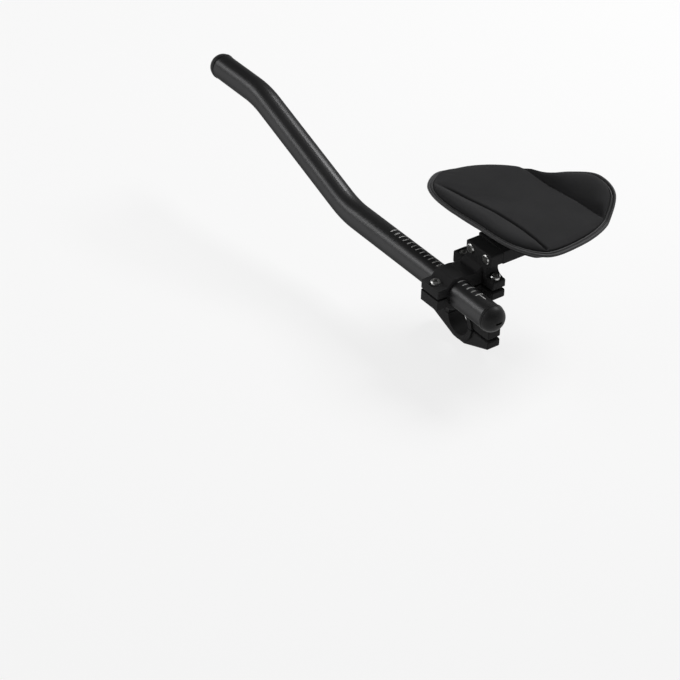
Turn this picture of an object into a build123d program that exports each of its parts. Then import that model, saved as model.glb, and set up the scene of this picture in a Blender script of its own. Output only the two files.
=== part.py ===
from build123d import *
import math
import os

# One clip-on extension for the right-hand side of a handlebar. Sizes are in millimetres.
# Origin: centre of the handlebar clamp's bore. +X runs outboard along the bar, +Y forward, +Z up.

# Handlebar clamp
BAR_DIAMETER = 25.4
CLAMP_BORE = 31.8
CLAMP_WIDTH = 12.5
BAR_BOLT_SPACING = 62.0
EAR_END = 5.5             # from a bolt's axis to the end of its ear
BAR_SPLIT_GAP = 2.0
UPPER_EAR_HEIGHT = 11.0
LOWER_EAR_HEIGHT = 7.0
LOWER_WALL = 3.2
LOWER_FLAT = 14.0
SHIM_CLEARANCE = 0.05
SHIM_LIP_WIDTH = 1.5
SHIM_LIP_HEIGHT = 1.2
SHIM_SPLIT = 1.0

# Web between the two clamps
WEB_REAR_REACH = 17.7
WEB_FRONT_REACH = 10.0
SHOULDER_HEIGHT = 26.8
SHOULDER_CLEARANCE = 1.0  # from a bolt's head to the foot of the web
TOP_EAR_THICKNESS = 7.5
TOP_EAR_REACH = 8.0

# Extension tube
TUBE_DIAMETER = 22.2
TUBE_WALL = 2.0
TUBE_X = -28.5
TUBE_Z = 48.5
TUBE_REAR_END = -63.0
REAR_RUN = 184.0
RISE_RUN = 132.0
RISE = 47.0
FRONT_RUN = 60.0
BEND_RADIUS = 75.0

# End plugs
PLUG_FLANGE = 2.0
PLUG_LIP = 0.4
SEAM_BEVEL = 0.5
PLUG_DOME = 9.0
PLUG_STEM_LENGTH = 18.0
PLUG_STEM_CLEARANCE = 0.7
PLUG_RIB_CLEARANCE = 0.1
PLUG_RIB_COUNT = 3
PLUG_RIB_WIDTH = 2.0
PLUG_SLOT_WIDTH = 1.6
PLUG_SLOT_LENGTH = 6.0
PLUG_SLOT_DEPTH = 1.5

# Tube clamp
TUBE_CLAMP_Y = -12.5
TUBE_CLAMP_LENGTH = 22.0
TUBE_RUNNING_CLEARANCE = 0.05
TUBE_SPLIT_GAP = 2.0
CRADLE_WALL = 4.0
CAP_WALL = 3.0
CAP_FLAT = 11.0
HUMP_REACH = 10.9         # from the tube's axis to the foot of the hump
SADDLE_RADIUS = 3.0
SADDLE_RUN = 5.0
SADDLE_DIP = 2.2
SADDLE_RISE = 2.0
EAR_TOP = 8.5
EAR_BOTTOM = 9.0
INNER_BOLT_REACH = 15.0
GUSSET_DROP = 6.0
OUTER_BOLT_SPACING = 40.0

# Upright on the cap, and the arm bolted to it
UPRIGHT_Y = -17.75
UPRIGHT_LENGTH = 31.0
UPRIGHT_TOP = 79.0
WAIST_RADIUS = 6.0
WAIST_OFFSET = 1.0
FRONT_LUG_RISE = 3.4
ARM_BOLT_SPACING = 18.8
ARM_BOLT_Z = 73.5
ARM_BOLT_GRIP = 12.0
ARM_LENGTH = 54.0
ARM_BOTTOM = 68.0
ARM_WALL = 4.0
ARM_ROOT = 16.0
ARM_STOCK_HEIGHT = 22.0   # before the top is cut to the rest's plane
ARM_HOLLOW_DEPTH = 5.0
ARM_SCREW_HOLE = 20.0
ARM_END_RADIUS = 8.0

# Armrest: its own plane is turned about Z and tipped up at the front
REST_X = 48.0
REST_Y = -8.0
REST_Z = 80.0
REST_TOE = 8.0
REST_PITCH = 3.4
PAD_OUTLINE = [
    (-51.5, 12.0), (-51.0, 40.0), (-46.0, 59.5), (-33.0, 77.5), (-15.0, 85.5), (2.0, 79.5), (30.0, 58.5),
    (45.0, 36.5), (50.0, 24.0), (60.5, 9.0), (70.5, -13.0), (65.0, -36.0), (47.0, -48.3), (0.0, -56.2),
    (-32.0, -49.8), (-47.5, -34.0),
]
INSET_POINTS = 26         # points that carry the outline when it is drawn in
INNER_CREASE = -31.0
OUTER_CREASE = 35.0
WING_REACH = 75.0
INNER_WING_ANGLE = 18.0
OUTER_WING_ANGLE = 24.0
CREASE_RADIUS = 6.0
CUP_WALL = 3.0
CUP_INSET = 9.0
CUP_SCREW_FIRST = 26.0
CUP_SCREW_PITCH = 22.0
PATCH_THICKNESS = 0.9
PATCH_LENGTH = 70.0
PATCH_WIDTH = 24.0
PATCH_SPACING = 34.0
PAD_THICKNESS = 7.0
PAD_EDGE_RADIUS = 2.5
BINDING_WIDTH = 5.0
BINDING_THICKNESS = 2.4
BINDING_CLEARANCE = 0.1

# Fasteners
BOLT_DIAMETER = 5.0
HOLE_CLEARANCE = 0.25
HEAD_DIAMETER = 8.2
HEAD_HEIGHT = 2.6
HEAD_BEVEL = 0.8
SOCKET_WIDTH = 4.0
SOCKET_DEPTH = 1.6
COUNTERBORE_DEPTH = 1.4
COUNTERBORE_CLEARANCE = 0.25
HEAD_POCKET_HEIGHT = 9.0
SCREW_HEAD_DIAMETER = 10.0
SCREW_HEAD_HEIGHT = 2.5
SCREW_SOCKET_DEPTH = 1.6
SCREW_GRIP = 4.0
CORNER_RADIUS = 1.5
EDGE_RADIUS = 0.9

# Places that several pieces share
tube_radius = TUBE_DIAMETER / 2
tube_bore = tube_radius - TUBE_WALL
seat_radius = tube_radius + TUBE_RUNNING_CLEARANCE
half_width = CLAMP_WIDTH / 2
bar_split = BAR_SPLIT_GAP / 2
bar_ear_top = bar_split + UPPER_EAR_HEIGHT
bar_ear_end = BAR_BOLT_SPACING / 2 + EAR_END
shoulder_foot = BAR_BOLT_SPACING / 2 - HEAD_DIAMETER / 2 - SHOULDER_CLEARANCE
lower_seat = TUBE_Z - TUBE_SPLIT_GAP / 2
upper_seat = TUBE_Z + TUBE_SPLIT_GAP / 2
ear_top = TUBE_Z + EAR_TOP
lug_top = ear_top + FRONT_LUG_RISE
cap_top = TUBE_Z + seat_radius + CAP_WALL
ear_edge = TUBE_X - INNER_BOLT_REACH - EAR_END
outer_rear = TUBE_CLAMP_Y - OUTER_BOLT_SPACING / 2 - EAR_END
outer_front = TUBE_CLAMP_Y + OUTER_BOLT_SPACING / 2 + EAR_END
upright_rear = UPRIGHT_Y - UPRIGHT_LENGTH / 2
upright_front = UPRIGHT_Y + UPRIGHT_LENGTH / 2
bolt_hole = BOLT_DIAMETER / 2 + HOLE_CLEARANCE
bar_bolt_places = [(0, -BAR_BOLT_SPACING / 2), (0, BAR_BOLT_SPACING / 2)]
cap_bolt_places = [
    (TUBE_X - INNER_BOLT_REACH, TUBE_CLAMP_Y),
    (0, TUBE_CLAMP_Y - OUTER_BOLT_SPACING / 2),
    (0, TUBE_CLAMP_Y + OUTER_BOLT_SPACING / 2),
]
arm_bolt_places = [UPRIGHT_Y - ARM_BOLT_SPACING / 2, UPRIGHT_Y + ARM_BOLT_SPACING / 2]
cup_screw_places = [CUP_SCREW_FIRST, CUP_SCREW_FIRST + CUP_SCREW_PITCH]
patch_top = CUP_WALL + PATCH_THICKNESS
pad_bottom = patch_top + PATCH_THICKNESS
rest = Location((REST_X, REST_Y, REST_Z), (0, 0, REST_TOE)) * Location((0, 0, 0), (REST_PITCH, 0, 0))


def along_x(radius, start, end, y, z):
    """Round bar along X between two places."""
    return Location(((start + end) / 2, y, z), (0, 90, 0)) * Cylinder(radius, end - start)


def along_y(radius, start, end, x, z):
    """Round bar along Y between two places."""
    return Location((x, (start + end) / 2, z), (90, 0, 0)) * Cylinder(radius, end - start)


def along_z(radius, start, end, x, y):
    """Round bar along Z between two heights."""
    return Location((x, y, (start + end) / 2)) * Cylinder(radius, end - start)


def block(x, y, z):
    """Box between two places on each axis."""
    size = [side[1] - side[0] for side in (x, y, z)]
    centre = [(side[0] + side[1]) / 2 for side in (x, y, z)]
    return Location(tuple(centre)) * Box(*size)


def rounded_plate(points):
    """Forged plate across the bar: an outline in Y and Z with rounded corners and rims."""
    outline = FilletPolyline(*points, radius=CORNER_RADIUS, close=True)
    plate = extrude(Plane.YZ * make_face(outline), amount=half_width, both=True)
    rims = plate.faces().filter_by(Axis.X).edges()
    return fillet(rims, EDGE_RADIUS)


def clamp_section(section, seat):
    """Tube clamp half from its section in X and Z; the rims at both ends are rounded, but not at the seat."""
    solid = Location((0, TUBE_CLAMP_Y, 0)) * extrude(Plane.XZ * section, amount=TUBE_CLAMP_LENGTH / 2, both=True)
    ends = solid.faces().filter_by(Axis.Y).edges()
    rims = ends.filter_by(lambda edge: edge.center().X < -half_width and abs(edge.center().Z - seat) > EDGE_RADIUS)
    return fillet(rims, EDGE_RADIUS)


def flat(x, z):
    """Rectangle in a section, between two places on each axis."""
    return Location(((x[0] + x[1]) / 2, (z[0] + z[1]) / 2)) * Rectangle(x[1] - x[0], z[1] - z[0])


def clamp_body():
    """Upper half of the bar clamp, web, outer ears and the cradle under the tube."""
    ear_under = lower_seat - TOP_EAR_THICKNESS
    plate = rounded_plate([
        (-bar_ear_end, bar_split),
        (-bar_ear_end, bar_ear_top),
        (-shoulder_foot, bar_ear_top),
        (-WEB_REAR_REACH, SHOULDER_HEIGHT),
        (outer_rear + TOP_EAR_REACH, ear_under),
        (outer_rear, ear_under),
        (outer_rear, lower_seat),
        (outer_front, lower_seat),
        (outer_front, ear_under),
        (WEB_FRONT_REACH, SHOULDER_HEIGHT),
        (shoulder_foot, bar_ear_top),
        (bar_ear_end, bar_ear_top),
        (bar_ear_end, bar_split),
    ])
    outside = seat_radius + CRADLE_WALL
    cradle_bottom = TUBE_Z - outside
    section = flat((ear_edge, 0), (lower_seat - EAR_BOTTOM, lower_seat))
    ring = Location((TUBE_X, TUBE_Z)) * Circle(outside)
    section += ring & flat((TUBE_X - outside, TUBE_X + outside), (cradle_bottom, lower_seat))
    section += make_face(Polyline(
        (TUBE_X, cradle_bottom), (0, cradle_bottom - GUSSET_DROP), (0, lower_seat), (TUBE_X, lower_seat),
        close=True,
    ))
    body = plate + clamp_section(section, lower_seat)
    body -= along_x(CLAMP_BORE / 2, -half_width, half_width, 0, 0)
    body -= along_y(seat_radius, outer_rear, outer_front, TUBE_X, TUBE_Z)
    for x, y in bar_bolt_places:
        body -= along_z(bolt_hole, 0, bar_ear_top, x, y)
    for x, y in cap_bolt_places:
        body -= along_z(bolt_hole, lower_seat - EAR_BOTTOM, lower_seat, x, y)
    return body


def bar_clamp_lower():
    """Lower half of the bar clamp, with straight flanks from the ears to the flat bottom."""
    bottom = -CLAMP_BORE / 2 - LOWER_WALL
    ear_under = -bar_split - LOWER_EAR_HEIGHT
    plate = rounded_plate([
        (-bar_ear_end, -bar_split),
        (bar_ear_end, -bar_split),
        (bar_ear_end, ear_under),
        (LOWER_FLAT / 2, bottom),
        (-LOWER_FLAT / 2, bottom),
        (-bar_ear_end, ear_under),
    ])
    plate -= along_x(CLAMP_BORE / 2, -half_width, half_width, 0, 0)
    for x, y in bar_bolt_places:
        plate -= along_z(bolt_hole, bottom, 0, x, y)
    return plate


def bar_shim(side):
    """Half sleeve that fills the bore down to the bar, with a lip at each end."""
    outer = CLAMP_BORE / 2 - SHIM_CLEARANCE
    reach = half_width + SHIM_CLEARANCE
    sleeve = along_x(outer, -reach, reach, 0, 0)
    for end in (-1, 1):
        start, stop = sorted((end * reach, end * (reach + SHIM_LIP_WIDTH)))
        sleeve += along_x(outer + SHIM_LIP_HEIGHT, start, stop, 0, 0)
    far = reach + SHIM_LIP_WIDTH
    sleeve -= along_x(BAR_DIAMETER / 2, -far, far, 0, 0)
    near, top = sorted((side * SHIM_SPLIT / 2, side * CLAMP_BORE))
    return sleeve & block((-far, far), (-CLAMP_BORE, CLAMP_BORE), (near, top))


def tube_path():
    """Centre line of the tube: two equal bends between three straights."""
    first = TUBE_REAR_END + REAR_RUN
    second = first + RISE_RUN
    end = second + FRONT_RUN
    return FilletPolyline(
        (TUBE_X, TUBE_REAR_END, TUBE_Z),
        (TUBE_X, first, TUBE_Z),
        (TUBE_X, second, TUBE_Z + RISE),
        (TUBE_X, end, TUBE_Z + RISE),
        radius=BEND_RADIUS,
    )


def extension_tube():
    """Bent round tube with an open bore; its outer edges are bevelled at both ends."""
    path = tube_path()
    start = Plane(origin=path @ 0, z_dir=path % 0)
    wall = start * (Circle(tube_radius) - Circle(tube_bore))
    tube = sweep(wall, path=path)
    ends = tube.faces().filter_by(Axis.Y).edges()
    return chamfer(ends.filter_by(lambda edge: edge.radius > tube_bore + SEAM_BEVEL), SEAM_BEVEL)


def end_plug():
    """Domed plug along +Z: its lip sits on the tube's end and its ribbed stem goes into the bore."""
    stem = tube_bore - PLUG_STEM_CLEARANCE
    rim = make_face([
        Polyline(
            (0, 0), (tube_radius, 0), (tube_radius + PLUG_LIP, PLUG_LIP),
            (tube_radius + PLUG_LIP, PLUG_FLANGE - PLUG_LIP), (tube_radius, PLUG_FLANGE),
        ),
        EllipticalCenterArc((0, PLUG_FLANGE), tube_radius, PLUG_DOME, start_angle=0, arc_size=90),
        Line((0, PLUG_FLANGE + PLUG_DOME), (0, 0)),
    ])
    plug = revolve(Plane.XZ * rim, Axis.Z)
    plug += along_z(stem, -PLUG_STEM_LENGTH, 0, 0, 0)
    pitch = PLUG_STEM_LENGTH / (PLUG_RIB_COUNT + 1)
    for number in range(PLUG_RIB_COUNT):
        middle = -pitch * (number + 1)
        low = middle - PLUG_RIB_WIDTH / 2
        plug += along_z(tube_bore - PLUG_RIB_CLEARANCE, low, low + PLUG_RIB_WIDTH, 0, 0)
    top = PLUG_FLANGE + PLUG_DOME
    half_slot = PLUG_SLOT_LENGTH / 2
    half_cut = PLUG_SLOT_WIDTH / 2
    plug -= block((-half_slot, half_slot), (-half_cut, half_cut), (top - PLUG_SLOT_DEPTH, top))
    return plug


def tube_clamp_cap():
    """Upper half of the tube clamp, with outer ears and the upright that carries the arm."""
    plate = rounded_plate([
        (outer_rear, upper_seat),
        (outer_rear, ear_top),
        (upright_rear, ear_top),
        (upright_rear, UPRIGHT_TOP),
        (upright_front, UPRIGHT_TOP),
        (upright_front, lug_top),
        (outer_front, lug_top),
        (outer_front, upper_seat),
    ])
    saddle = FilletPolyline(
        (ear_edge, ear_top),
        (TUBE_X - HUMP_REACH, ear_top),
        (TUBE_X - CAP_FLAT / 2, cap_top),
        (TUBE_X + CAP_FLAT / 2, cap_top),
        (-half_width - SADDLE_RUN, cap_top - SADDLE_DIP),
        (-half_width, cap_top + SADDLE_RISE),
        radius=SADDLE_RADIUS,
    )
    foot = Polyline(
        (-half_width, cap_top + SADDLE_RISE), (0, cap_top + SADDLE_RISE), (0, upper_seat),
        (ear_edge, upper_seat), (ear_edge, ear_top),
    )
    cap = plate + clamp_section(make_face([saddle, foot]), upper_seat)
    cap -= along_y(seat_radius, outer_rear, outer_front, TUBE_X, TUBE_Z)
    counterbore = HEAD_DIAMETER / 2 + COUNTERBORE_CLEARANCE
    for x, y in cap_bolt_places:
        cap -= along_z(bolt_hole, upper_seat, ear_top, x, y)
        cap -= along_z(counterbore, ear_top, ear_top + HEAD_POCKET_HEIGHT, x, y)
    rear_bolt = cap_bolt_places[1][1]
    cap -= along_x(WAIST_RADIUS, -half_width, half_width, rear_bolt - WAIST_OFFSET, ear_top + WAIST_RADIUS)
    for y in arm_bolt_places:
        cap -= along_x(bolt_hole, -half_width, half_width, y, ARM_BOLT_Z)
        cap -= along_x(counterbore, -half_width, COUNTERBORE_DEPTH - half_width, y, ARM_BOLT_Z)
    return cap


def armrest_arm():
    """Arm from the upright to under the cup: solid root, hollow underside, top cut to the rest's plane."""
    end = half_width + ARM_LENGTH
    arm = block((half_width, end), (upright_rear, upright_front), (ARM_BOTTOM, ARM_BOTTOM + ARM_STOCK_HEIGHT))
    tip = arm.edges().filter_by(Axis.Z).group_by(Axis.X)[-1]
    arm = fillet(tip, ARM_END_RADIUS)
    arm = split(arm, bisect_by=Plane(rest), keep=Keep.BOTTOM)
    hollow = block(
        (half_width + ARM_ROOT, end - ARM_WALL),
        (upright_rear + ARM_WALL, upright_front - ARM_WALL),
        (ARM_BOTTOM, ARM_BOTTOM + ARM_HOLLOW_DEPTH),
    )
    arm -= hollow
    for y in arm_bolt_places:
        arm -= along_x(bolt_hole, half_width, half_width + ARM_BOLT_GRIP + HOLE_CLEARANCE, y, ARM_BOLT_Z)
    for place in cup_screw_places:
        arm -= cup_screw_place(place) * along_z(bolt_hole, -ARM_SCREW_HOLE, 0, 0, 0)
    return arm


def cup_screw_place(place):
    """Place of a cup screw on the arm's top, square to the rest's plane."""
    along = place - REST_X
    across = UPRIGHT_Y - REST_Y
    turn = math.radians(REST_TOE)
    local_x = along * math.cos(turn) + across * math.sin(turn)
    local_y = across * math.cos(turn) - along * math.sin(turn)
    return rest * Location((local_x, local_y, 0))


def pad_outline(inset):
    """Plan outline of the pad as a smooth closed curve, drawn in by an inset."""
    loop = Spline(*PAD_OUTLINE, periodic=True)
    if inset > 0:
        points = []
        for index in range(INSET_POINTS):
            tangent = loop % (index / INSET_POINTS)
            inward = Vector(tangent.Y, -tangent.X)
            points.append(loop @ (index / INSET_POINTS) + inward * inset)
        loop = Spline(*points, periodic=True)
    return make_face(loop)


def trough(low, high, inset):
    """Layer of the armrest between two heights: flat middle, wings bent up at both creases."""
    inner_rise = (WING_REACH + INNER_CREASE) * math.tan(math.radians(INNER_WING_ANGLE))
    outer_rise = (WING_REACH - OUTER_CREASE) * math.tan(math.radians(OUTER_WING_ANGLE))
    bends = [(-WING_REACH, inner_rise), (INNER_CREASE, 0), (OUTER_CREASE, 0), (WING_REACH, outer_rise)]
    under = FilletPolyline(*[(x, z + low) for x, z in bends], radius=CREASE_RADIUS)
    over = FilletPolyline(*[(x, z + high) for x, z in bends], radius=CREASE_RADIUS)
    section = make_face([
        under, over,
        Line((-WING_REACH, inner_rise + low), (-WING_REACH, inner_rise + high)),
        Line((WING_REACH, outer_rise + low), (WING_REACH, outer_rise + high)),
    ])
    reach = 2 * WING_REACH
    layer = extrude(Plane.XZ * section, amount=reach, both=True)
    prism = extrude(pad_outline(inset), amount=reach, both=True)
    return layer & prism


def armrest_cup():
    """Thin dished shell under the pad."""
    cup = rest * trough(0, CUP_WALL, CUP_INSET)
    for place in cup_screw_places:
        cup -= cup_screw_place(place) * along_z(bolt_hole, 0, CUP_WALL, 0, 0)
        cup -= cup_screw_place(place) * screw_head(HOLE_CLEARANCE)
    return cup


def fastener_patches(low):
    """Two strips of hook or loop tape on the flat middle of the cup."""
    middle = (INNER_CREASE + OUTER_CREASE) / 2
    strip = Box(PATCH_WIDTH, PATCH_LENGTH, PATCH_THICKNESS)
    height = low + PATCH_THICKNESS / 2
    places = [middle - PATCH_SPACING / 2, middle + PATCH_SPACING / 2]
    return Compound(children=[rest * Location((x, 0, height)) * strip for x in places])


def arm_pad():
    """Foam pad with a rounded upper edge; its foot is drawn in for the binding."""
    foot = trough(pad_bottom, pad_bottom + BINDING_THICKNESS, BINDING_WIDTH + BINDING_CLEARANCE)
    return rest * (foot + pad_crown())


def outer_edges(faces):
    """Edges that belong to one face of a group only, which is the group's rim."""
    edges = faces.edges()
    return [edge for edge in edges if sum(edge.is_same(other) for other in edges) == 1]


def pad_crown():
    """Part of the pad above the binding."""
    low = pad_bottom + BINDING_THICKNESS
    high = pad_bottom + PAD_THICKNESS
    crown = trough(low, high, BINDING_WIDTH)
    top = crown.faces().filter_by(lambda face: face.normal_at().Z > 0.5)
    return fillet(outer_edges(top), PAD_EDGE_RADIUS)


def pad_binding():
    """Flat tape round the foot of the pad."""
    low = pad_bottom
    high = pad_bottom + BINDING_THICKNESS
    return rest * (trough(low, high, 0) - trough(low, high, BINDING_WIDTH))


def hex_bolt(length):
    """Socket-head bolt: head above z = 0, shank below."""
    bolt = along_z(HEAD_DIAMETER / 2, 0, HEAD_HEIGHT, 0, 0)
    bolt = chamfer(bolt.edges().group_by(Axis.Z)[-1], HEAD_BEVEL)
    socket = extrude(RegularPolygon(SOCKET_WIDTH / 2, 6, major_radius=False), amount=SOCKET_DEPTH)
    bolt -= Location((0, 0, HEAD_HEIGHT - SOCKET_DEPTH)) * socket
    bolt += along_z(BOLT_DIAMETER / 2, -length, 0, 0, 0)
    return bolt


def screw_head(allowance):
    """Countersunk head that ends flush with the cup's upper face."""
    top = SCREW_HEAD_DIAMETER / 2 + allowance
    low = BOLT_DIAMETER / 2 + allowance
    return Location((0, 0, CUP_WALL - SCREW_HEAD_HEIGHT / 2)) * Cone(low, top, SCREW_HEAD_HEIGHT)


def cup_screw():
    """Countersunk screw from the cup into the arm."""
    screw = screw_head(0) + along_z(BOLT_DIAMETER / 2, -SCREW_GRIP, CUP_WALL - SCREW_HEAD_HEIGHT, 0, 0)
    socket = extrude(RegularPolygon(SOCKET_WIDTH / 2, 6, major_radius=False), amount=SCREW_SOCKET_DEPTH)
    return screw - Location((0, 0, CUP_WALL - SCREW_SOCKET_DEPTH)) * socket


def upright_bolts(places, seat, length):
    """Bolts with their heads on a level seat."""
    return Compound(children=[Location((x, y, seat)) * hex_bolt(length) for x, y in places])


def arm_bolts():
    """Bolts laid along X, heads in the upright's counterbores."""
    seat = COUNTERBORE_DEPTH - half_width
    bolt = hex_bolt(half_width - seat + ARM_BOLT_GRIP)
    return Compound(children=[Location((seat, y, ARM_BOLT_Z), (0, -90, 0)) * bolt for y in arm_bolt_places])


def cup_screws():
    """Screws from the cup into the arm."""
    return Compound(children=[cup_screw_place(place) * cup_screw() for place in cup_screw_places])


def rear_plug():
    """End plug behind the tube, dome to the rear."""
    return Location((TUBE_X, TUBE_REAR_END, TUBE_Z), (90, 0, 0)) * end_plug()


def front_plug():
    """End plug in front of the tube, dome forward."""
    end = TUBE_REAR_END + REAR_RUN + RISE_RUN + FRONT_RUN
    return Location((TUBE_X, end, TUBE_Z + RISE), (-90, 0, 0)) * end_plug()


bar_bolt_length = UPPER_EAR_HEIGHT + BAR_SPLIT_GAP + LOWER_EAR_HEIGHT
cap_bolt_length = EAR_TOP - TUBE_SPLIT_GAP / 2 + TUBE_SPLIT_GAP + TOP_EAR_THICKNESS

nodes = {
    "clamp_body": clamp_body(),
    "bar_clamp_lower": bar_clamp_lower(),
    "bar_shim_upper": bar_shim(1),
    "bar_shim_lower": bar_shim(-1),
    "bar_clamp_bolts": upright_bolts(bar_bolt_places, bar_ear_top, bar_bolt_length),
    "extension_tube": extension_tube(),
    "rear_end_plug": rear_plug(),
    "front_end_plug": front_plug(),
    "tube_clamp_cap": tube_clamp_cap(),
    "tube_clamp_bolts": upright_bolts(cap_bolt_places, ear_top, cap_bolt_length),
    "armrest_arm": armrest_arm(),
    "armrest_arm_bolts": arm_bolts(),
    "armrest_cup": armrest_cup(),
    "cup_screws": cup_screws(),
    "hook_patches": fastener_patches(CUP_WALL),
    "loop_patches": fastener_patches(patch_top),
    "arm_pad": arm_pad(),
    "pad_binding": pad_binding(),
}

os.makedirs("parts", exist_ok=True)
for name, shape in nodes.items():
    export_step(shape, f"parts/{name}.step")
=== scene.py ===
import math

import bpy
from bpy.props import FloatProperty, FloatVectorProperty, IntProperty, PointerProperty
from bpy.types import Operator, Panel, PropertyGroup
from mathutils import Matrix, Vector
from mathutils.kdtree import KDTree


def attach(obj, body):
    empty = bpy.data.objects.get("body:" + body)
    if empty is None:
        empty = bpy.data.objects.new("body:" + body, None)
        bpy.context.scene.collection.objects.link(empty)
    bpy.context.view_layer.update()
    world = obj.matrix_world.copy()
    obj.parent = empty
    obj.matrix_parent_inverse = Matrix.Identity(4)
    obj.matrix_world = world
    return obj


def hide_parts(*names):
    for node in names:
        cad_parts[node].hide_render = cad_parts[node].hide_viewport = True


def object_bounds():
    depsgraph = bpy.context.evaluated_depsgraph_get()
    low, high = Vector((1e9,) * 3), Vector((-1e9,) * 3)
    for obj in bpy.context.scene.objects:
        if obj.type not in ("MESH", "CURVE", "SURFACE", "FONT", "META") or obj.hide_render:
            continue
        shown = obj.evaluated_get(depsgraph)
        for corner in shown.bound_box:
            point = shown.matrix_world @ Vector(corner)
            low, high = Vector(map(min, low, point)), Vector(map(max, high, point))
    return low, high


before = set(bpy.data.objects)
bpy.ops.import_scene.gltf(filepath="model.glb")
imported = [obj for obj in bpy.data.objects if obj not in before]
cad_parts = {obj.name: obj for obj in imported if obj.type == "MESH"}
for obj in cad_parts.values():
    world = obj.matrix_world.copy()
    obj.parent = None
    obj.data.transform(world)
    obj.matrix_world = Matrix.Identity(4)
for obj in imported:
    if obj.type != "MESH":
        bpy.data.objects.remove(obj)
cad_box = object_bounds()

bl_info = {
    "name": "Aero handlebar extension",
    "version": (1, 0, 0),
    "blender": (4, 5, 0),
    "location": "View3D > Sidebar > Extension",
    "description": "Dresses a clip-on handlebar extension: arm pad, edge binding, finishes and studio",
    "category": "Object",
}

MM = 0.001
MERGE_DISTANCE = 0.001 * MM

# The armrest's own plane in the shared frame
REST_PLACE = Vector((48.0, -8.0, 80.0)) * MM
REST_TOE = math.radians(8.0)
REST_PITCH = math.radians(3.4)
REST = (
    Matrix.Translation(REST_PLACE)
    @ Matrix.Rotation(REST_TOE, 4, "Z")
    @ Matrix.Rotation(REST_PITCH, 4, "X")
)

# The pad's outline, layers and wings on that plane, where sizes are in millimetres
PAD_OUTLINE = [
    (-51.5, 12.0), (-51.0, 40.0), (-46.0, 59.5), (-33.0, 77.5), (-15.0, 85.5), (2.0, 79.5), (30.0, 58.5),
    (45.0, 36.5), (50.0, 24.0), (60.5, 9.0), (70.5, -13.0), (65.0, -36.0), (47.0, -48.3), (0.0, -56.2),
    (-32.0, -49.8), (-47.5, -34.0),
]
PAD_CENTRE = Vector((4.0, 8.0))
PAD_BOTTOM = 4.8
BINDING_TOP = 7.2
FOOT_INSET = 4.9
INNER_BEND = -31.0
INNER_BEND_SOFTNESS = 8.0
OUTER_BEND = 39.3
OUTER_LEAN = 0.045
OUTER_BEND_SOFTNESS = 0.6
WING_BLEND = 14.0

# How full the pad's rounded edge is: 2 is a quarter of an ellipse, and more is squarer
EDGE_POWER = 2.6

# Points on the pad's foot, from which distances are measured, and how closely its rows crowd to the edge
FOOT_POINTS = 2400
ROW_CROWDING = 1.45

# The inboard crease bows towards the middle of the pad, and both creases fade out at the front
CREASE_MIDDLE = Vector((-23.9, 0.0))
CREASE_BOW = 0.0013
CREASE_FADE_START = 74.0
CREASE_FADE_END = 52.0

# What the cover is sewn to doesn't swell: its foot up to this height, and this far to each side of a crease
HELD_HEIGHT = 0.3
HELD_WIDTH = 1.6
SWELL_FRAMES = 20

# Front of the pad, where its top is thicker towards the outboard wing
LIFT_START = 5.0
LIFT_END = 45.0
LIFT_INNER = -40.0
LIFT_OUTER = 35.0

# Rear of the pad, where its top comes down to the binding
DROP_START = -14.0
DROP_END = -50.0

# The tube's axis along its straight rear run
TUBE_X = -28.5 * MM
TUBE_Z = 48.5 * MM

# Edges of the solids that are sharper than this stay sharp
SMOOTH_ANGLE = math.radians(32)

# Floor in metres, and the share of its white that is its own and takes no shadow
FLOOR_SIZE = 12.0
FLOOR_GAP = 0.2 * MM
FLOOR_GLOW = 0.8

# Heights, as the upward part of a direction, where the white walls end and the dim ceiling begins
WALL_TOP = 0.12
CEILING = 0.26

# Softboxes: direction from the object, distance, and width and height
SOFTBOXES = {
    "key": ((0.64, 0.02, 0.76), 1.7, (0.75, 0.75)),
    "fill": ((-0.68, 0.5, 0.52), 1.7, (1.8, 0.45)),
    "top": ((-0.1, -0.2, 1.0), 1.8, (1.4, 1.4)),
}

# Camera fitted to the photograph
CAMERA_PLACE = Vector((-892.91, -1053.73, 965.71)) * MM
CAMERA_HEADING = math.radians(36.09)
CAMERA_DROP = math.radians(35.72)
CAMERA_ROLL = math.radians(1.25)
CAMERA_LENS = 110.48
CAMERA_SENSOR = 36.0
CAMERA_REACH = 50.0


def colour_property(name, description, default):
    """Colour that a user may change."""
    return FloatVectorProperty(
        name=name, description=description, default=default, subtype="COLOR", min=0, max=1)


def length_property(name, description, default):
    """Length in metres that a user may change."""
    return FloatProperty(name=name, description=description, default=default, unit="LENGTH", precision=5)


def angle_property(name, description, default):
    """Angle in radians that a user may change."""
    return FloatProperty(name=name, description=description, default=default, subtype="ANGLE")


def power_property(name, description, default):
    """Power of a light, in watts, that a user may change."""
    return FloatProperty(name=name, description=description, default=default, unit="POWER")


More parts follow.
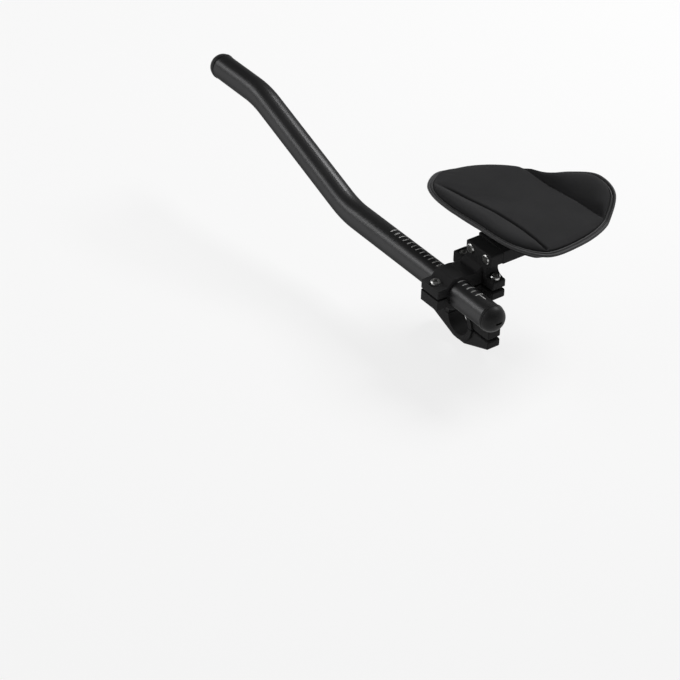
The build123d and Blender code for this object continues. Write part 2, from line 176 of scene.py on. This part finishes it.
class PadSettings(PropertyGroup):
    """Sizes of the arm pad, the swelling of its cover and the fineness of its mesh."""
    crown: length_property("Crown", "Height of the pad's top above its binding", 4.6 * MM)
    front_lift: length_property("Front lift", "Extra height of the pad at its front, outboard", 3.4 * MM)
    front_dip: length_property("Front dip", "Height that the pad loses at its front, inboard", 3.2 * MM)
    rear_drop: length_property("Rear drop", "Height that the pad loses at its rear", 2.4 * MM)
    edge: length_property("Edge", "Width of the rounded edge", 1.8 * MM)
    wing_edge: length_property("Wing edge", "Width of the rounded edge along the wings", 9.0 * MM)
    inner_swell: length_property("Inner swell", "Height of the roll on the inboard wing", 2.4 * MM)
    outer_swell: length_property("Outer swell", "Height of the roll on the outboard wing", 4.4 * MM)
    crease_depth: length_property("Crease depth", "Depth of the inboard crease", 2.4 * MM)
    fold_depth: length_property("Fold depth", "Depth of the outboard crease", 1.3 * MM)
    crease_width: length_property("Crease width", "Half width of the creases", 1.4 * MM)
    inner_wing: angle_property("Inner wing", "Slope of the inboard wing", math.radians(18))
    outer_wing: angle_property("Outer wing", "Slope of the outboard wing", math.radians(26))
    pressure: FloatProperty(name="Pressure", description="Pressure of the foam in the cover", default=4.0)
    swell_cap: length_property("Swell cap", "Longest way that the cover may swell", 0.8 * MM)
    columns: IntProperty(name="Columns", description="Faces round the pad", default=200, min=40)
    rows: IntProperty(name="Rows", description="Faces from the middle to the edge", default=60, min=12)


class ScaleSettings(PropertyGroup):
    """Marks printed along the top of the tube."""
    first: length_property("First mark", "Rear end of the scale", -46.5 * MM)
    last: length_property("Last mark", "Front end of the scale", 64.5 * MM)
    pitch: length_property("Pitch", "Distance between marks", 5.47 * MM)
    thickness: length_property("Thickness", "Width of a printed line", 1.1 * MM)
    start: length_property("Start", "Inboard end of the marks, from the top of the tube", -1.9 * MM)
    short_end: length_property("Short end", "Outboard end of the short marks", 3.3 * MM)
    long_end: length_property("Long end", "Outboard end of the long marks", 6.6 * MM)
    leg: length_property("Leg", "Length of the line along the tube at the first mark", 7.5 * MM)


class FinishSettings(PropertyGroup):
    """Colours of the finishes."""
    bracket: colour_property("Bracket", "Forged clamps and arm", (0.028, 0.028, 0.0285))
    tube: colour_property("Tube", "Anodised tube", (0.07, 0.07, 0.071))
    mark: colour_property("Marks", "Printed scale", (0.5, 0.5, 0.49))
    steel: colour_property("Steel", "Bolts and screws", (0.5, 0.5, 0.49))
    plastic: colour_property("Plastic", "Plugs and cup", (0.021, 0.021, 0.0214))
    fabric: colour_property("Fabric", "Pad cover", (0.031, 0.031, 0.032))
    tape: colour_property("Tape", "Binding and fastening patches", (0.05, 0.05, 0.051))


class StageSettings(PropertyGroup):
    """Studio light."""
    key_power: power_property("Key", "Power of the right softbox", 23.0)
    fill_power: power_property("Fill", "Power of the left softbox", 8.5)
    top_power: power_property("Top", "Power of the overhead softbox", 1.2)
    ambient: FloatProperty(name="Ambient", description="Strength of the world's light", default=0.05, min=0)
    floor: colour_property("Floor", "Pale studio floor", (0.9, 0.9, 0.9))


class Wire:
    """A shader socket: arithmetic on it adds Math nodes."""

    def __init__(self, finish, socket):
        self.finish = finish
        self.socket = socket

    def math(self, operation, *values):
        """Math node on values or other wires."""
        return self.finish.add("ShaderNodeMath", {"operation": operation}, dict(enumerate(values)))

    def __add__(self, other):
        return self.math("ADD", self, other)

    def __radd__(self, other):
        return self.math("ADD", other, self)

    def __sub__(self, other):
        return self.math("SUBTRACT", self, other)

    def __rsub__(self, other):
        return self.math("SUBTRACT", other, self)

    def __mul__(self, other):
        return self.math("MULTIPLY", self, other)

    def __rmul__(self, other):
        return self.math("MULTIPLY", other, self)

    def __truediv__(self, other):
        return self.math("DIVIDE", self, other)

    def __rtruediv__(self, other):
        return self.math("DIVIDE", other, self)

    def __lt__(self, other):
        return self.math("LESS_THAN", self, other)

    def __gt__(self, other):
        return self.math("GREATER_THAN", self, other)

    def __abs__(self):
        return self.math("ABSOLUTE", self)

    def part(self):
        """What is left over a whole number."""
        return self.math("FRACT", self)

    def larger(self, other):
        """The larger of two values."""
        return self.math("MAXIMUM", self, other)


class Finish:
    """A material, or the world, whose nodes are added one by one."""

    def __init__(self, owner):
        self.owner = owner
        owner.use_nodes = True
        self.tree = owner.node_tree
        self.tree.nodes.clear()

    def add(self, kind, settings=None, inputs=None, output=0):
        """Adds a node, sets it up, links or fills its sockets and returns one of its outputs."""
        node = self.tree.nodes.new(kind)
        for name, value in (settings or {}).items():
            setattr(node, name, value)
        for name, value in (inputs or {}).items():
            if isinstance(value, Wire):
                self.tree.links.new(value.socket, node.inputs[name])
            else:
                node.inputs[name].default_value = value
        return Wire(self, node.outputs[output])

    def place(self):
        """Object coordinates."""
        return self.add("ShaderNodeTexCoord", output="Object")

    def axes(self):
        """Object coordinates as three values."""
        split = self.add("ShaderNodeSeparateXYZ", inputs={"Vector": self.place()})
        outputs = split.socket.node.outputs
        return [Wire(self, outputs[axis]) for axis in "XYZ"]

    def noise(self, scale, detail=2.0, stretch=(1, 1, 1)):
        """Noise between 0 and 1; the scale is in features per metre."""
        place = self.add("ShaderNodeMapping", inputs={"Vector": self.place(), "Scale": stretch})
        return self.add("ShaderNodeTexNoise", inputs={"Vector": place, "Scale": scale, "Detail": detail})

    def mix(self, factor, first, second):
        """Colour between two colours."""
        settings = {"data_type": "RGBA"}
        inputs = {0: factor, 6: first, 7: second}
        return self.add("ShaderNodeMix", settings, inputs, output=2)

    def tint(self, colour, amount, factor):
        """A colour that varies a little, darker to lighter."""
        dark = [channel * (1 - amount) for channel in colour] + [1]
        light = [channel * (1 + amount) for channel in colour] + [1]
        return self.mix(factor, dark, light)

    def bump(self, height, distance, strength=1.0):
        """Normal that follows a height between 0 and 1."""
        inputs = {"Height": height, "Distance": distance, "Strength": strength}
        return self.add("ShaderNodeBump", inputs=inputs)

    def surface(self, values):
        """Principled shader as the material's surface."""
        shader = self.add("ShaderNodeBsdfPrincipled", inputs=values)
        self.add_output(shader)
        return self.owner

    def add_output(self, shader, kind="ShaderNodeOutputMaterial"):
        """Links a shader to the surface of the material or world."""
        node = self.tree.nodes.new(kind)
        self.tree.links.new(shader.socket, node.inputs["Surface"])


def new_finish(name):
    """Empty finish on a new material."""
    return Finish(bpy.data.materials.new(name))


def paint(material, *names):
    """Gives CAD nodes a material."""
    for name in names:
        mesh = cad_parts[name].data
        mesh.materials.clear()
        mesh.materials.append(material)


def dress(material, *names):
    """Gives CAD nodes a material and shades them smooth except at sharp edges."""
    paint(material, *names)
    bpy.ops.object.select_all(action="DESELECT")
    for name in names:
        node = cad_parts[name]
        node.select_set(True)
        bpy.context.view_layer.objects.active = node
    bpy.ops.object.shade_smooth_by_angle(angle=SMOOTH_ANGLE)


def outline_points(count):
    """Points evenly spread round the pad's outline: a smooth closed curve through the drawn points."""
    corners = [Vector(point) for point in PAD_OUTLINE]
    total = len(corners)
    chords = [(corners[(i + 1) % total] - corners[i]).length for i in range(total)]
    slopes = []
    for i in range(total):
        before = (corners[i] - corners[i - 1]) / chords[i - 1]
        after = (corners[(i + 1) % total] - corners[i]) / chords[i]
        weight = chords[i - 1] + chords[i]
        slopes.append((before * chords[i] + after * chords[i - 1]) / weight)
    fine = []
    steps = 64
    for i in range(total):
        j = (i + 1) % total
        for step in range(steps):
            t = step / steps
            fine.append(
                corners[i] * (2 * t**3 - 3 * t**2 + 1)
                + slopes[i] * chords[i] * (t**3 - 2 * t**2 + t)
                + corners[j] * (3 * t**2 - 2 * t**3)
                + slopes[j] * chords[i] * (t**3 - t**2)
            )
    lengths = [0.0]
    for i in range(len(fine)):
        lengths.append(lengths[-1] + (fine[(i + 1) % len(fine)] - fine[i]).length)
    points = []
    index = 0
    for k in range(count):
        target = lengths[-1] * k / count
        while lengths[index + 1] < target:
            index += 1
        share = (target - lengths[index]) / (lengths[index + 1] - lengths[index])
        points.append(fine[index].lerp(fine[(index + 1) % len(fine)], share))
    return points


def drawn_in(points, inset):
    """Outline moved inward by an inset; the outline runs clockwise."""
    moved = []
    count = len(points)
    for i in range(count):
        along = (points[(i + 1) % count] - points[i - 1]).normalized()
        moved.append(points[i] + Vector((along.y, -along.x)) * inset)
    return moved


def outer_bend(y):
    """Where the outboard wing begins: a straight line that leans outboard towards the rear."""
    return OUTER_BEND - OUTER_LEAN * y


def inner_crease(y):
    """Where the inboard wing begins: a line that bows towards the middle of the pad."""
    return CREASE_MIDDLE.x - CREASE_BOW * (y - CREASE_MIDDLE.y) ** 2


def wing_rise(settings, x, y):
    """Height that the wings add outside the two bends."""
    rise = 0.0
    for over, softness, angle in (
        (INNER_BEND - x, INNER_BEND_SOFTNESS, settings.inner_wing),
        (x - outer_bend(y), OUTER_BEND_SOFTNESS, settings.outer_wing),
    ):
        ramp = (over + math.hypot(over, softness)) / 2
        rise += ramp * math.tan(angle)
    return rise


def in_frame(x, y, z):
    """Point of the armrest's plane, in millimetres, as a place in the shared frame."""
    return REST @ (Vector((x, y, z)) * MM)


def wrapped_grid(name, columns, rows, place):
    """Grid from -1 to 1 wrapped into a closed form: columns run round it and rows over its section."""
    bpy.ops.object.select_all(action="DESELECT")
    bpy.ops.mesh.primitive_grid_add(x_subdivisions=columns, y_subdivisions=rows, size=2)
    piece = bpy.context.object
    piece.name = name
    piece.data.name = name
    for vertex in piece.data.vertices:
        column = round((vertex.co.x + 1) / 2 * columns)
        row = round((vertex.co.y + 1) / 2 * rows)
        vertex.co = place(column % columns, row)
    bpy.ops.object.mode_set(mode="EDIT")
    bpy.ops.mesh.select_all(action="SELECT")
    bpy.ops.mesh.remove_doubles(threshold=MERGE_DISTANCE)
    bpy.ops.mesh.normals_make_consistent(inside=False)
    bpy.ops.object.mode_set(mode="OBJECT")
    bpy.ops.object.shade_smooth()
    return piece


def fade(value, start, end):
    """Smooth step from 0 at start to 1 at end."""
    t = min(max((value - start) / (end - start), 0), 1)
    return t * t * (3 - 2 * t)


def arch(share):
    """Rounded rise from 0 at both ends to 1 half-way."""
    return 4 * share * (1 - share)


class PadSection:
    """Shape of the pad over its plan."""

    def __init__(self, settings):
        self.settings = settings
        self.foot = drawn_in(outline_points(settings.columns), FOOT_INSET)
        self.side_rows = 3
        self.under_rows = 8
        self.rows = settings.rows + self.side_rows + self.under_rows
        edge = drawn_in(outline_points(FOOT_POINTS), FOOT_INSET)
        self.tree = KDTree(len(edge))
        for index, point in enumerate(edge):
            self.tree.insert((point.x, point.y, 0), index)
        self.tree.balance()

    def inside(self, x, y):
        """Distance from the pad's foot."""
        return self.tree.find((x, y, 0))[2]

    def top(self, x, y):
        """Height of the upper face before the creases are pressed in."""
        settings = self.settings
        inside = self.inside(x, y)
        edge = settings.edge
        swell = 0.0
        for over, roll in (
            (inner_crease(y) - x, settings.inner_swell),
            (x - outer_bend(y), settings.outer_swell),
        ):
            if over > 0:
                width = over + inside
                share = over / width
                edge += (settings.wing_edge - settings.edge) * fade(over, 0, WING_BLEND)
                swell += arch(share) * roll * fade(width, 0, WING_BLEND)
        share = min(inside * MM / edge, 1)
        outboard = min(max((x - LIFT_INNER) / (LIFT_OUTER - LIFT_INNER), 0), 1)
        lift = settings.front_lift * outboard - settings.front_dip * (1 - outboard)
        lift *= fade(max(inner_crease(y) - x, x - outer_bend(y)), WING_BLEND, 0)
        height = settings.crown + lift * fade(y, LIFT_START, LIFT_END)
        height -= settings.rear_drop * fade(y, DROP_START, DROP_END)
        crown = height * (1 - (1 - share) ** EDGE_POWER) ** (1 / EDGE_POWER)
        return BINDING_TOP + wing_rise(settings, x, y) + (crown + swell) / MM

    def groove(self, x, y):
        """Depth of the two creases in the upper face."""
        settings = self.settings
        depth = 0.0
        for line, full in (
            (inner_crease(y), settings.crease_depth),
            (outer_bend(y), settings.fold_depth),
        ):
            depth += full * math.exp(-(((x - line) * MM / settings.crease_width) ** 2))
        front = fade(y, CREASE_FADE_START, CREASE_FADE_END)
        rim = min(self.inside(x, y) * MM / settings.edge, 1)
        return depth * front * rim

    def above_foot(self, point):
        """Height of a point over the top of the binding."""
        return point.z - BINDING_TOP - wing_rise(self.settings, point.x, point.y)

    def held(self, point):
        """True at the foot, the underside and the creases."""
        if self.above_foot(point) < HELD_HEIGHT:
            return True
        lines = (inner_crease(point.y), outer_bend(point.y))
        return min(abs(point.x - line) for line in lines) < HELD_WIDTH

    def place(self, column, row):
        """Place of one corner of the wrapped grid."""
        rim = self.foot[column]
        top_rows = self.settings.rows
        if row <= top_rows:
            out = 1 - (1 - row / top_rows) ** ROW_CROWDING
            point = PAD_CENTRE.lerp(rim, out)
            return in_frame(point.x, point.y, self.top(point.x, point.y))
        if row <= top_rows + self.side_rows:
            down = (row - top_rows) / self.side_rows
            height = BINDING_TOP + (PAD_BOTTOM - BINDING_TOP) * down
            return in_frame(rim.x, rim.y, height + wing_rise(self.settings, rim.x, rim.y))
        back = (row - top_rows - self.side_rows) / self.under_rows
        point = rim.lerp(PAD_CENTRE, back)
        return in_frame(point.x, point.y, PAD_BOTTOM + wing_rise(self.settings, point.x, point.y))


def in_rest(place):
    """Place in the shared frame as a point of the armrest's plane, in millimetres."""
    return REST.inverted() @ place / MM


def swell_cover(piece, section):
    """Cloth simulation: the foam's pressure swells the cover between its seams, up to a cap."""
    settings = section.settings
    starts = [vertex.co.copy() for vertex in piece.data.vertices]
    seams = piece.vertex_groups.new(name="seams")
    held = [index for index, start in enumerate(starts) if section.held(in_rest(start))]
    seams.add(held, 1.0, "REPLACE")
    cloth = piece.modifiers.new("cover_swell", "CLOTH")
    cloth.settings.use_pressure = True
    cloth.settings.uniform_pressure_force = settings.pressure
    cloth.settings.vertex_group_mass = seams.name
    cloth.settings.effector_weights.gravity = 0
    cloth.point_cache.frame_end = SWELL_FRAMES
    for step in range(1, SWELL_FRAMES + 1):
        bpy.context.scene.frame_set(step)
    bpy.ops.object.modifier_apply(modifier=cloth.name)
    bpy.context.scene.frame_set(1)
    for vertex, start in zip(piece.data.vertices, starts):
        move = vertex.co - start
        if move.length > settings.swell_cap:
            vertex.co = start + move.normalized() * settings.swell_cap


def press_creases(piece, section):
    """One subdivision, then the creases pressed into the upper face."""
    fine = piece.modifiers.new("fine_cover", "SUBSURF")
    fine.levels = 1
    fine.render_levels = 1
    bpy.ops.object.modifier_apply(modifier=fine.name)
    down = REST.to_3x3() @ Vector((0, 0, -1))
    for vertex in piece.data.vertices:
        point = in_rest(vertex.co)
        if section.above_foot(point) > 0:
            vertex.co += down * section.groove(point.x, point.y)


class EXTENSION_OT_arm_pad(Operator):
    """Moulded foam pad with two wings, creases and a rounded edge"""
    bl_idname = "extension.arm_pad"
    bl_label = "Arm pad"

    def execute(self, context):
        settings = context.scene.extension_pad
        section = PadSection(settings)
        pad = wrapped_grid("arm_pad_cover", settings.columns, section.rows, section.place)
        swell_cover(pad, section)
        press_creases(pad, section)
        pad.data.materials.append(fabric_finish(context.scene.extension_finish))
        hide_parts("arm_pad")
        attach(pad, "bracket")
        return {"FINISHED"}


class EXTENSION_OT_pad_binding(Operator):
    """Binding round the foot of the pad: two rolled edges with a sewn channel between"""
    bl_idname = "extension.pad_binding"
    bl_label = "Pad binding"

    # Section as inset from the outline and height, in millimetres
    section = [
        (0.5, 4.85), (2.5, 4.8), (4.5, 4.85), (4.95, 5.4), (5.0, 6.4), (4.75, 7.2), (4.1, 7.6), (3.4, 7.3),
        (3.0, 6.7), (2.8, 6.35), (2.6, 6.55), (2.2, 7.0), (1.4, 7.2), (0.6, 6.9), (0.1, 6.2), (0.1, 5.3),
    ]

    def execute(self, context):
        settings = context.scene.extension_pad
        outline = outline_points(settings.columns)
        rings = [(drawn_in(outline, inset), height) for inset, height in self.section]
        count = len(rings)

        def place(column, row):
            ring, height = rings[row % count]
            point = ring[column]
            return in_frame(point.x, point.y, height + wing_rise(settings, point.x, point.y))

        binding = wrapped_grid("pad_edge_binding", settings.columns, count, place)
        binding.data.materials.append(tape_finish(context.scene.extension_finish))
        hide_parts("pad_binding")
        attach(binding, "bracket")
        return {"FINISHED"}


def fabric_finish(colours):
    """Matt knitted cover: fine loops, faint mottling and a soft sheen."""
    finish = new_finish("pad_cover_knit")
    x, y = finish.axes()[:2]
    loop = 1.1 * MM
    rows = abs((x / loop).part() - 0.5) * 2
    courses = abs((y / loop).part() - 0.5) * 2
    grain = finish.noise(scale=1800, detail=3)
    mottle = finish.noise(scale=45, detail=3)
    height = rows * courses * 0.7 + grain * 0.3
    tone = mottle * 0.6 + grain * 0.4
    return finish.surface({
        "Base Color": finish.tint(colours.fabric, amount=0.22, factor=tone),
        "Roughness": 0.82 + grain * 0.12,
        "Specular IOR Level": 0.06,
        "Sheen Weight": 0.04,
        "Sheen Roughness": 0.5,
        "Normal": finish.bump(height, distance=0.12 * MM, strength=0.6),
    })


def tape_finish(colours):
    """Woven tape: fine ribs and a slightly shinier surface than the pad."""
    finish = new_finish("binding_tape")
    grain = finish.noise(scale=2600)
    ribs = finish.noise(scale=900, stretch=(1, 1, 3))
    return finish.surface({
        "Base Color": finish.tint(colours.tape, amount=0.25, factor=ribs),
        "Roughness": 0.45 + grain * 0.16,
        "Specular IOR Level": 0.2,
        "Normal": finish.bump(ribs * 0.6 + grain * 0.4, distance=0.1 * MM, strength=0.5),
    })


class EXTENSION_OT_bracket_finish(Operator):
    """Satin black finish of the forged clamps, shims and arm"""
    bl_idname = "extension.bracket_finish"
    bl_label = "Bracket finish"

    nodes = [
        "clamp_body", "bar_clamp_lower", "bar_shim_upper", "bar_shim_lower",
        "tube_clamp_cap", "armrest_arm",
    ]

    def execute(self, context):
        colours = context.scene.extension_finish
        finish = new_finish("bracket_satin_black")
        grain = finish.noise(scale=3200)
        cloud = finish.noise(scale=60, detail=3)
        material = finish.surface({
            "Base Color": finish.tint(colours.bracket, amount=0.2, factor=cloud),
            "Roughness": 0.36 + cloud * 0.12,
            "Specular IOR Level": 0.03,
            "Normal": finish.bump(grain, distance=0.03 * MM, strength=0.35),
        })
        dress(material, *self.nodes)
        return {"FINISHED"}


class EXTENSION_OT_tube_finish(Operator):
    """Anodised tube with a printed scale along its top"""
    bl_idname = "extension.tube_finish"
    bl_label = "Tube finish"

    def execute(self, context):
        colours = context.scene.extension_finish
        finish = new_finish("tube_satin_black")
        draw = finish.noise(scale=2200, stretch=(1, 0.02, 1))
        cloud = finish.noise(scale=35, detail=3)
        marks = self.marks(finish, context.scene.extension_scale)
        plain = finish.tint(colours.tube, amount=0.18, factor=cloud * 0.6 + draw * 0.4)
        material = finish.surface({
            "Base Color": finish.mix(marks, plain, [*colours.mark, 1]),
            "Metallic": 0.85 - marks * 0.85,
            "Roughness": 0.33 + cloud * 0.04 + draw * 0.02 + marks * 0.1,
            "Specular IOR Level": 0.2,
            "Specular Tint": [0.3, 0.3, 0.3, 1],
        })
        dress(material, "extension_tube")
        return {"FINISHED"}

    def marks(self, finish, scale):
        """1 on the printed lines: long and short marks in turn, and a leg along the tube at the first."""
        x, y, z = finish.axes()
        along = y - scale.first
        across = x - TUBE_X
        step = (along / scale.pitch).part() * scale.pitch
        pair = (along / (2 * scale.pitch)).part() * (2 * scale.pitch)
        reach = scale.short_end + (pair < scale.thickness) * (scale.long_end - scale.short_end)
        inside = (along > 0) * (y < scale.last) * (across > scale.start) * (across < reach)
        lines = (step < scale.thickness) * inside
        behind = (along < scale.thickness) * (along > -scale.leg)
        leg = behind * (abs(across - scale.short_end / 2) < scale.thickness / 2)
        return lines.larger(leg) * (z > TUBE_Z)


def plastic_finish(name, colours, roughness, spark):
    """Moulded black plastic with a fine spark-eroded grain."""
    finish = new_finish(name)
    grain = finish.noise(scale=spark)
    cloud = finish.noise(scale=70)
    return finish.surface({
        "Base Color": finish.tint(colours.plastic, amount=0.15, factor=cloud),
        "Roughness": roughness + grain * 0.12,
        "Specular IOR Level": 0.12,
        "Normal": finish.bump(grain, distance=0.05 * MM, strength=0.4),
    })


class EXTENSION_OT_plug_finish(Operator):
    """Moulded plastic of the end plugs"""
    bl_idname = "extension.plug_finish"
    bl_label = "Plug finish"

    nodes = ["rear_end_plug", "front_end_plug"]

    def execute(self, context):
        colours = context.scene.extension_finish
        material = plastic_finish("plug_moulded_plastic", colours, roughness=0.38, spark=2400)
        dress(material, *self.nodes)
        return {"FINISHED"}


class EXTENSION_OT_armrest_finish(Operator):
    """Plastic of the cup, and the tape of the fastening patches"""
    bl_idname = "extension.armrest_finish"
    bl_label = "Cup and patches"

    def execute(self, context):
        colours = context.scene.extension_finish
        plastic = plastic_finish("cup_moulded_plastic", colours, roughness=0.45, spark=1600)
        dress(plastic, "armrest_cup")
        finish = new_finish("patch_pile")
        pile = finish.noise(scale=4200)
        material = finish.surface({
            "Base Color": finish.tint(colours.tape, amount=0.35, factor=pile),
            "Roughness": 0.85 + pile * 0.1,
            "Specular IOR Level": 0.06,
            "Normal": finish.bump(pile, distance=0.3 * MM, strength=0.8),
        })
        paint(material, "hook_patches", "loop_patches")
        return {"FINISHED"}


class EXTENSION_OT_bolt_finish(Operator):
    """Bright steel of the bolts and screws"""
    bl_idname = "extension.bolt_finish"
    bl_label = "Bolt finish"

    nodes = ["bar_clamp_bolts", "tube_clamp_bolts", "armrest_arm_bolts", "cup_screws"]

    def execute(self, context):
        colours = context.scene.extension_finish
        finish = new_finish("bolt_bright_steel")
        turned = finish.noise(scale=2600)
        cloud = finish.noise(scale=400)
        material = finish.surface({
            "Base Color": finish.tint(colours.steel, amount=0.12, factor=cloud),
            "Metallic": 1.0,
            "Roughness": 0.2 + turned * 0.14,
            "Normal": finish.bump(turned, distance=0.01 * MM, strength=0.3),
        })
        dress(material, *self.nodes)
        return {"FINISHED"}


class EXTENSION_OT_stage(Operator):
    """Pale floor, soft studio light and the camera"""
    bl_idname = "extension.stage"
    bl_label = "Stage"

    def execute(self, context):
        settings = context.scene.extension_stage
        self.floor(settings)
        self.world(context.scene, settings)
        target = (cad_box[0] + cad_box[1]) / 2
        for name, (direction, distance, size) in SOFTBOXES.items():
            power = getattr(settings, name + "_power")
            self.softbox(name + "_softbox", target, direction, distance, size, power)
        self.camera(context.scene)
        context.scene.view_settings.view_transform = "Standard"
        return {"FINISHED"}

    def floor(self, settings):
        """Wide floor just under the lowest point."""
        bpy.ops.object.select_all(action="DESELECT")
        bpy.ops.mesh.primitive_plane_add(size=FLOOR_SIZE, location=(0, 0, cad_box[0].z - FLOOR_GAP))
        floor = bpy.context.object
        floor.name = "studio_floor"
        bpy.ops.object.transform_apply(location=True)
        finish = new_finish("studio_floor_pale")
        pale = finish.add("ShaderNodeBsdfDiffuse", inputs={"Color": [*settings.floor, 1]})
        glow = finish.add("ShaderNodeEmission", inputs={"Color": [1, 1, 1, 1], "Strength": 1.0})
        seen = finish.add("ShaderNodeLightPath", output="Is Camera Ray")
        for ray in ("Is Glossy Ray", "Is Transmission Ray"):
            seen = seen.larger(finish.add("ShaderNodeLightPath", output=ray))
        shares = {0: seen * FLOOR_GLOW, 1: pale, 2: glow}
        finish.add_output(finish.add("ShaderNodeMixShader", inputs=shares))
        floor.data.materials.append(finish.owner)

    def world(self, scene, settings):
        """White walls at the horizon that grow dim overhead."""
        world = Finish(bpy.data.worlds.new("studio_world"))
        scene.world = world.owner
        direction = world.add("ShaderNodeTexCoord", output="Generated")
        up = world.add("ShaderNodeSeparateXYZ", inputs={"Vector": direction}, output="Z")
        strength = world.add("ShaderNodeMapRange", inputs={
            "Value": up,
            "From Min": WALL_TOP,
            "From Max": CEILING,
            "To Min": 1.0,
            "To Max": settings.ambient,
        })
        white = {"Color": (1, 1, 1, 1), "Strength": strength}
        world.add_output(world.add("ShaderNodeBackground", inputs=white), "ShaderNodeOutputWorld")

    def softbox(self, name, target, direction, distance, size, power):
        """Rectangular light that faces the object."""
        data = bpy.data.lights.new(name, "AREA")
        data.shape = "RECTANGLE"
        data.size, data.size_y = size
        data.energy = power
        lamp = bpy.data.objects.new(name, data)
        bpy.context.scene.collection.objects.link(lamp)
        away = Vector(direction).normalized()
        lamp.location = target + away * distance
        lamp.rotation_mode = "QUATERNION"
        lamp.rotation_quaternion = away.to_track_quat("Z", "Y")

    def camera(self, scene):
        """Camera at the photograph's place and angle."""
        data = bpy.data.cameras.new("photo_camera")
        data.lens = CAMERA_LENS
        data.sensor_width = CAMERA_SENSOR
        data.clip_end = CAMERA_REACH
        camera = bpy.data.objects.new("photo_camera", data)
        scene.collection.objects.link(camera)
        turn = Matrix.Rotation(-CAMERA_HEADING, 4, "Z")
        tilt = Matrix.Rotation(math.pi / 2 - CAMERA_DROP, 4, "X")
        roll = Matrix.Rotation(CAMERA_ROLL, 4, "Z")
        camera.matrix_world = Matrix.Translation(CAMERA_PLACE) @ turn @ tilt @ roll
        scene.camera = camera


class EXTENSION_PT_panel(Panel):
    """Lists the extension's operators and settings"""
    bl_label = "Handlebar extension"
    bl_idname = "EXTENSION_PT_panel"
    bl_space_type = "VIEW_3D"
    bl_region_type = "UI"
    bl_category = "Extension"

    def draw(self, context):
        for operator in OPERATORS:
            self.layout.operator(operator.bl_idname)
        for group in SETTINGS:
            settings = getattr(context.scene, group)
            for name in settings.__annotations__:
                self.layout.prop(settings, name)


SETTINGS = {
    "extension_pad": PadSettings,
    "extension_scale": ScaleSettings,
    "extension_finish": FinishSettings,
    "extension_stage": StageSettings,
}
OPERATORS = [
    EXTENSION_OT_arm_pad, EXTENSION_OT_pad_binding, EXTENSION_OT_bracket_finish, EXTENSION_OT_tube_finish,
    EXTENSION_OT_plug_finish, EXTENSION_OT_armrest_finish, EXTENSION_OT_bolt_finish, EXTENSION_OT_stage,
]


def register():
    """Adds the settings, operators and panel."""
    for name, group in SETTINGS.items():
        bpy.utils.register_class(group)
        setattr(bpy.types.Scene, name, PointerProperty(type=group))
    for operator in OPERATORS:
        bpy.utils.register_class(operator)
    bpy.utils.register_class(EXTENSION_PT_panel)


def unregister():
    """Takes away what register added."""
    bpy.utils.unregister_class(EXTENSION_PT_panel)
    for operator in reversed(OPERATORS):
        bpy.utils.unregister_class(operator)
    for name, group in SETTINGS.items():
        delattr(bpy.types.Scene, name)
        bpy.utils.unregister_class(group)


def main():
    """Builds the pieces in order."""
    register()
    bpy.ops.extension.arm_pad()
    bpy.ops.extension.pad_binding()
    bpy.ops.extension.bracket_finish()
    bpy.ops.extension.tube_finish()
    bpy.ops.extension.plug_finish()
    bpy.ops.extension.armrest_finish()
    bpy.ops.extension.bolt_finish()
    bpy.ops.extension.stage()


if __name__ == "__main__":
    main()
